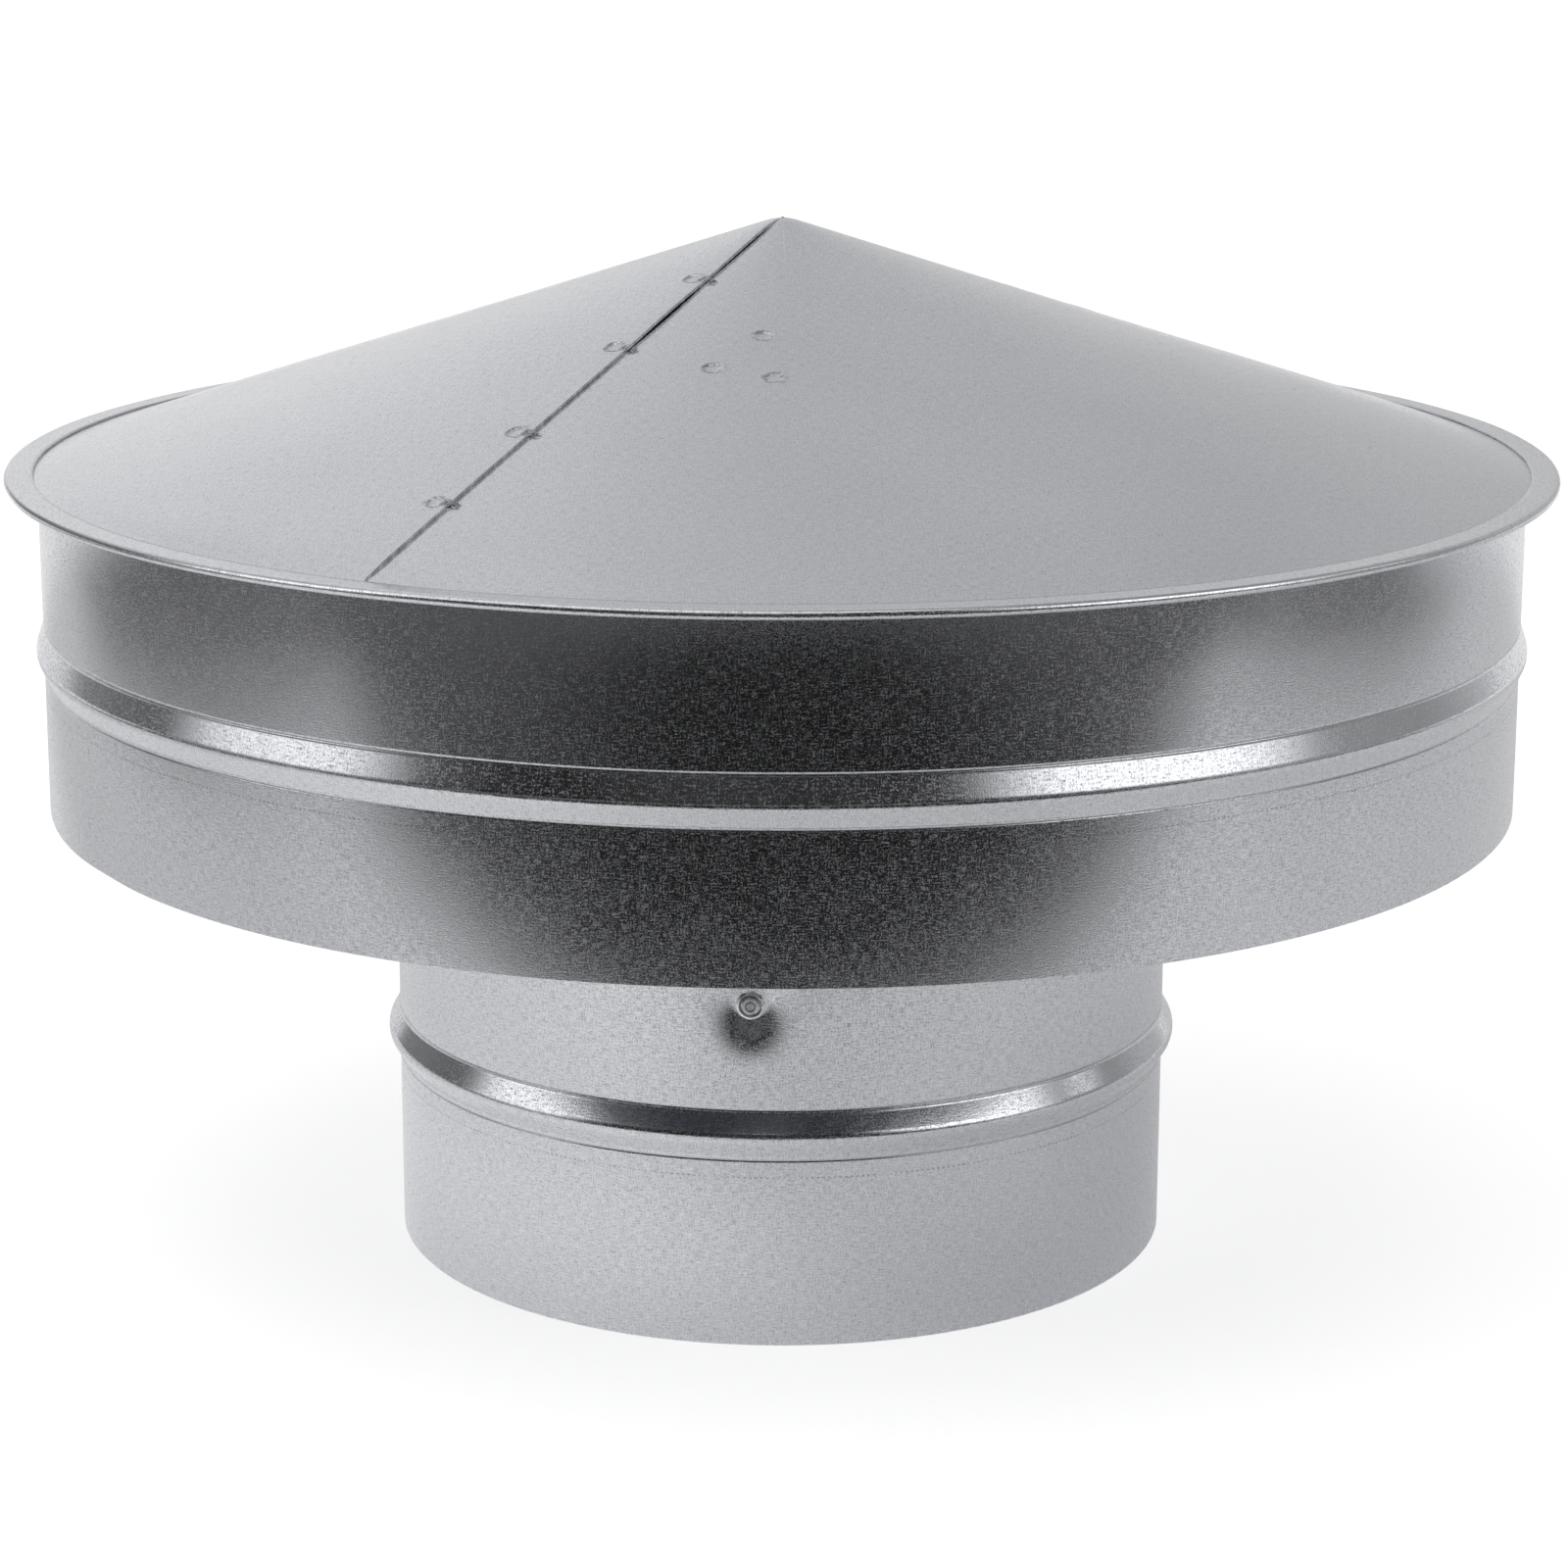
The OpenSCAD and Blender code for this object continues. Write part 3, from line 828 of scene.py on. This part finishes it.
def floor_material():
    """Pale floor, lifted to the white of the background for the camera and for reflections."""
    s = Shader(bpy.data.materials.new("floor_paper"))
    at = s.node("ShaderNodeTexCoord").outputs["Object"]
    tone = s.spread(s.noise(at, 3, 2), 0.3, 0.7, 0.86, 0.88)
    paper = s.node("ShaderNodeBsdfDiffuse", {"Color": s.grey(tone, WHITE)})
    ray = s.node("ShaderNodeLightPath").outputs
    mirrored = s.maths("MAXIMUM", ray["Is Glossy Ray"], ray["Is Transmission Ray"])
    parts = s.node("ShaderNodeSeparateXYZ", {"Vector": at}).outputs
    across = parts["X"]
    level = s.maths("MULTIPLY", s.turn(across, *LIFT_ACROSS), s.turn(across, *LIFT_FAR_LEFT))
    near = s.node("ShaderNodeVectorMath", {0: at}, operation="LENGTH").outputs["Value"]
    foot = s.turn(across, *LIFT_FOOT)
    level = s.maths("ADD", level, s.turn(near, *FOOT_REACH, foot, 0.0))
    level = s.maths("ADD", level, s.turn(parts["Y"], *LIFT_BACK))
    lift = s.maths("ADD", s.maths("MULTIPLY", ray["Is Camera Ray"], LIFT_SEEN),
                   s.maths("MULTIPLY", mirrored, level))
    glow = s.node("ShaderNodeEmission", {"Color": (*WHITE, 1), "Strength": lift})
    lifted = s.node("ShaderNodeAddShader")
    s.put(lifted.inputs[0], paper.outputs["BSDF"])
    s.put(lifted.inputs[1], glow.outputs["Emission"])
    return s.finish(lifted.outputs["Shader"])


def card_material(name, shade, edge_shade, fades):
    """Cloth that dims what the metal mirrors; each fade is (x share, y share, none at, full at)."""
    s = Shader(bpy.data.materials.new(name))
    at = s.node("ShaderNodeTexCoord").outputs["Object"]
    parts = s.node("ShaderNodeSeparateXYZ", {"Vector": at}).outputs
    out = s.maths("ABSOLUTE", parts["X"])
    tone = s.maths("MULTIPLY", s.turn(out, *CARD_SIDES, shade, edge_shade),
                   s.spread(s.noise(at, 40, 2), 0.3, 0.7, 0.9, 1.1))
    solid = 1.0
    for x_share, y_share, none_at, full_at in fades:
        along = s.maths("ADD", s.maths("MULTIPLY", parts["X"], x_share),
                        s.maths("MULTIPLY", parts["Y"], y_share))
        solid = s.maths("MULTIPLY", s.turn(along, none_at, full_at, 0.0, 1.0), solid)
    cloth = s.node("ShaderNodeBsdfDiffuse", {"Color": s.grey(tone, WHITE)})
    mix = s.node("ShaderNodeMixShader", {"Fac": solid})
    s.put(mix.inputs[1], s.node("ShaderNodeBsdfTransparent").outputs["BSDF"])
    s.put(mix.inputs[2], cloth.outputs["BSDF"])
    return s.finish(mix.outputs["Shader"])


# Name, corners in x and y, height, tones in the middle and at the sides, and the fades
CARDS = (("front", (-ROOM, ROOM), (-ROOM, -0.2), 0.001, 0.017, 0.15,
          ((PAPER_SKEW, 1, PAPER_FRONT + FEATHER, PAPER_FRONT - FEATHER),)),
         ("left", (-ROOM, -0.5), (-0.43, 0.65), 0.0015, 0.225, 0.225,
          ((1, 0, -0.55, -0.7), (0, 1, 0.62, 0.3))),
         ("right", (0.6, ROOM), (-0.43, 0.45), 0.0015, 0.3, 0.3,
          ((1, 0, 0.64, 0.79), (0, 1, 0.52, 0.05))))


def make_stage():
    """The floor, and cards on it that only reflections show."""
    f = FLOOR_SIZE / 2
    plane("floor", [(-f, -f, 0), (f, -f, 0), (f, f, 0), (-f, f, 0)], floor_material())
    for name, (x0, x1), (y0, y1), z, shade, edge_shade, fades in CARDS:
        corners = [(x0, y0, z), (x1, y0, z), (x1, y1, z), (x0, y1, z)]
        cloth = card_material("cloth_" + name, shade, edge_shade, fades)
        card = plane("card_" + name, corners, cloth)
        card.visible_camera = False
        card.visible_diffuse = False
        card.visible_shadow = False


# The surroundings. Each entry gives where they turn, along a direction's x, y or z, and the
# two levels: dark in front, paler at the back and paler still far back
WORLD_FRONT = (-0.8, -0.3, 0.03, 0.35)
WORLD_BACK = (0.3, 0.64, 0.0, 0.25)
WORLD_FAR_BACK = (0.7, 1.0, 0.0, 0.08)
# Shares of that level to the left and to the right, and the darker low part on the left
WORLD_LEFT = (0.05, -0.22, 1.0, 1.28)
WORLD_RIGHT = (0.14, 0.3, 1.0, 0.87)
SHADE_HEIGHT = (0.3, 0.62, 0.72, 0.0)
SHADE_LEFT = (-0.28, -0.6)
# Azimuth, elevation, half width, half height in degrees, and level
SOFT_BOXES = ((57, 28, 26, 20, 1.5), (99, 26, 6, 14, 0.6), (-81, 23, 20, 20, 1.15))


def direction(azimuth, elevation):
    a, e = math.radians(azimuth), math.radians(elevation)
    return Vector((math.sin(a) * math.cos(e), -math.cos(a) * math.cos(e), math.sin(e)))


def soft_box(s, toward, azimuth, elevation, half_wide, half_high, level):
    """A glowing patch of the surroundings that fades out at its edges."""
    way = direction(azimuth, elevation)
    side = direction(azimuth + 90, 0)
    ahead = s.dot(toward, way)
    depth = s.maths("MAXIMUM", ahead, 0.05)
    glow = s.turn(ahead, 0.0, 0.2, 0.0, level)
    for axis, half in ((side, half_wide), (way.cross(side), half_high)):
        off = s.maths("DIVIDE", s.maths("ABSOLUTE", s.dot(toward, axis)), depth)
        reach = math.tan(math.radians(half))
        glow = s.maths("MULTIPLY", glow, s.turn(off, 0.45 * reach, 1.25 * reach, 1.0, 0.0))
    return glow


def make_world():
    """Soft studio surroundings: dark behind the camera, paler to the sides and the back."""
    world = bpy.data.worlds.new("studio")
    bpy.context.scene.world = world
    s = Shader(world)
    toward = s.node("ShaderNodeTexCoord").outputs["Generated"]
    parts = s.node("ShaderNodeSeparateXYZ", {"Vector": toward}).outputs
    back = s.maths("ADD", s.turn(parts["Y"], *WORLD_BACK), s.turn(parts["Y"], *WORLD_FAR_BACK))
    level = s.maths("ADD", s.turn(parts["Y"], *WORLD_FRONT), back)
    for share in (WORLD_LEFT, WORLD_RIGHT):
        level = s.maths("MULTIPLY", level, s.turn(parts["X"], *share))
    shade = s.turn(parts["X"], *SHADE_LEFT, 0.0, s.turn(parts["Z"], *SHADE_HEIGHT))
    level = s.maths("MULTIPLY", level, s.maths("SUBTRACT", 1.0, shade))
    for box in SOFT_BOXES:
        level = s.maths("ADD", level, soft_box(s, toward, *box))
    seen = s.node("ShaderNodeLightPath").outputs["Is Camera Ray"]
    soft = s.node("ShaderNodeBackground", {"Color": (*WHITE, 1), "Strength": level})
    white = s.node("ShaderNodeBackground", {"Color": (*WHITE, 1), "Strength": 1.0})
    mix = s.node("ShaderNodeMixShader", {"Fac": seen})
    s.put(mix.inputs[1], soft.outputs["Background"])
    s.put(mix.inputs[2], white.outputs["Background"])
    s.node("ShaderNodeOutputWorld", {"Surface": mix.outputs["Shader"]})


# The key lamp: azimuth and elevation, distance from this height on the axis, and size
KEY_FROM = (-35, 62)
KEY_DISTANCE = 1.6
KEY_AIM_Z = 0.1
KEY_SIZE = (1.9, 1.7)
KEY_WATTS = 6


def make_lamp():
    data = bpy.data.lights.new("key", "AREA")
    data.shape = "RECTANGLE"
    data.size, data.size_y = KEY_SIZE
    data.energy = KEY_WATTS
    obj = add_object("key", data)
    way = direction(*KEY_FROM)
    obj.location = way * KEY_DISTANCE + Vector((0, 0, KEY_AIM_Z))
    obj.rotation_mode = "QUATERNION"
    obj.rotation_quaternion = way.to_track_quat("Z", "Y")


# Fitted to the photograph: place in millimetres, turns in degrees, lens for a 36 mm sensor
CAMERA_AT = (-15.6, -846.4, 307.4)
CAMERA_YAW = 1.09
CAMERA_PITCH = 14.226
CAMERA_ROLL = -0.122
CAMERA_LENS = 96.3


def make_camera():
    yaw, pitch, roll = (math.radians(v) for v in (CAMERA_YAW, CAMERA_PITCH, CAMERA_ROLL))
    ahead = Vector((math.sin(yaw) * math.cos(pitch), math.cos(yaw) * math.cos(pitch),
                    -math.sin(pitch)))
    level = Vector((math.cos(yaw), -math.sin(yaw), 0))
    down = ahead.cross(level)
    right = level * math.cos(roll) + down * math.sin(roll)
    under = down * math.cos(roll) - level * math.sin(roll)
    data = bpy.data.cameras.new("photo_camera")
    data.lens = CAMERA_LENS
    data.sensor_width = 36
    data.clip_start, data.clip_end = 0.05, 50
    obj = add_object("photo_camera", data)
    turn = Matrix((right, -under, -ahead)).transposed().to_4x4()
    obj.matrix_world = Matrix.Translation(Vector(CAMERA_AT) * MM) @ turn
    bpy.context.scene.camera = obj


# ---- The model ----

def dress(obj, materials, node):
    """A piece stands for that node: it takes these materials, hangs under the root body, and the node
    is hidden.
    """
    for material in materials:
        obj.data.materials.append(material)
    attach(obj, "root")
    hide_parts(node)


def soften(obj, material, width):
    """A CAD node that shows keeps its shape and gets its finish and slightly worn edges."""
    for slot in obj.material_slots:
        slot.material = material
    edges = obj.modifiers.new("worn_edges", "BEVEL")
    edges.width = width * MM
    edges.segments = 2
    edges.limit_method = "ANGLE"
    edges.angle_limit = math.radians(SHARP)


make_camera()
make_stage()
make_world()
make_lamp()

cut_edge = raw_metal("cut_edge", tone=0.66, rough=0.4, metallic=0.8, shade_free_ao=0.3)
zinc_hood = zinc("zinc_hood", grain=0.85, welds=hood_weld_spots(), splashes=hood_splashes())
zinc_ring = zinc("zinc_ring", line=RING_LINE, welds=ring_weld_spots(),
                 creases=crease_heights(RING_BEAD))
zinc_spigot = zinc("zinc_spigot", line=SPIGOT_LINE, creases=crease_heights(SPIGOT_BEAD))
dress(make_hood(), (zinc_hood, cut_edge), "hood_cone")
dress(make_ring(), (zinc_ring, cut_edge), "outer_ring")
dress(make_spigot(), (zinc_spigot, cut_edge), "spigot")

strip = zinc("zinc_strip", tone=0.6, rough=0.42, on_sheet=False)
for name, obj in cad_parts.items():
    if name.startswith("bracket"):
        soften(obj, strip, STRIP_WEAR)

flange = raw_metal("rivet_flange", tone=0.78, rough=0.22, metallic=1.0, shade_free_ao=0.5)
knob = raw_metal("rivet_knob", tone=0.8, rough=0.55, metallic=0.15, shade_free_ao=0.8)
steel = raw_metal("mandrel_steel", tone=0.7, rough=0.6, metallic=0.15, shade_free_ao=0.8)
for spot, azimuth in zip(("front", "rear_right", "rear_left"), BRACKET_AZ):
    rivet = lathe("rivet_turned_" + spot, RIVET_SHAPE, azimuth, True)
    dress(rivet, (flange, knob), "rivet_" + spot)
    mandrel = lathe("mandrel_" + spot, PIN_SHAPE, azimuth, False)
    dress(mandrel, (steel,), "rivet_pin_" + spot)

bpy.context.scene.view_settings.view_transform = "Standard"
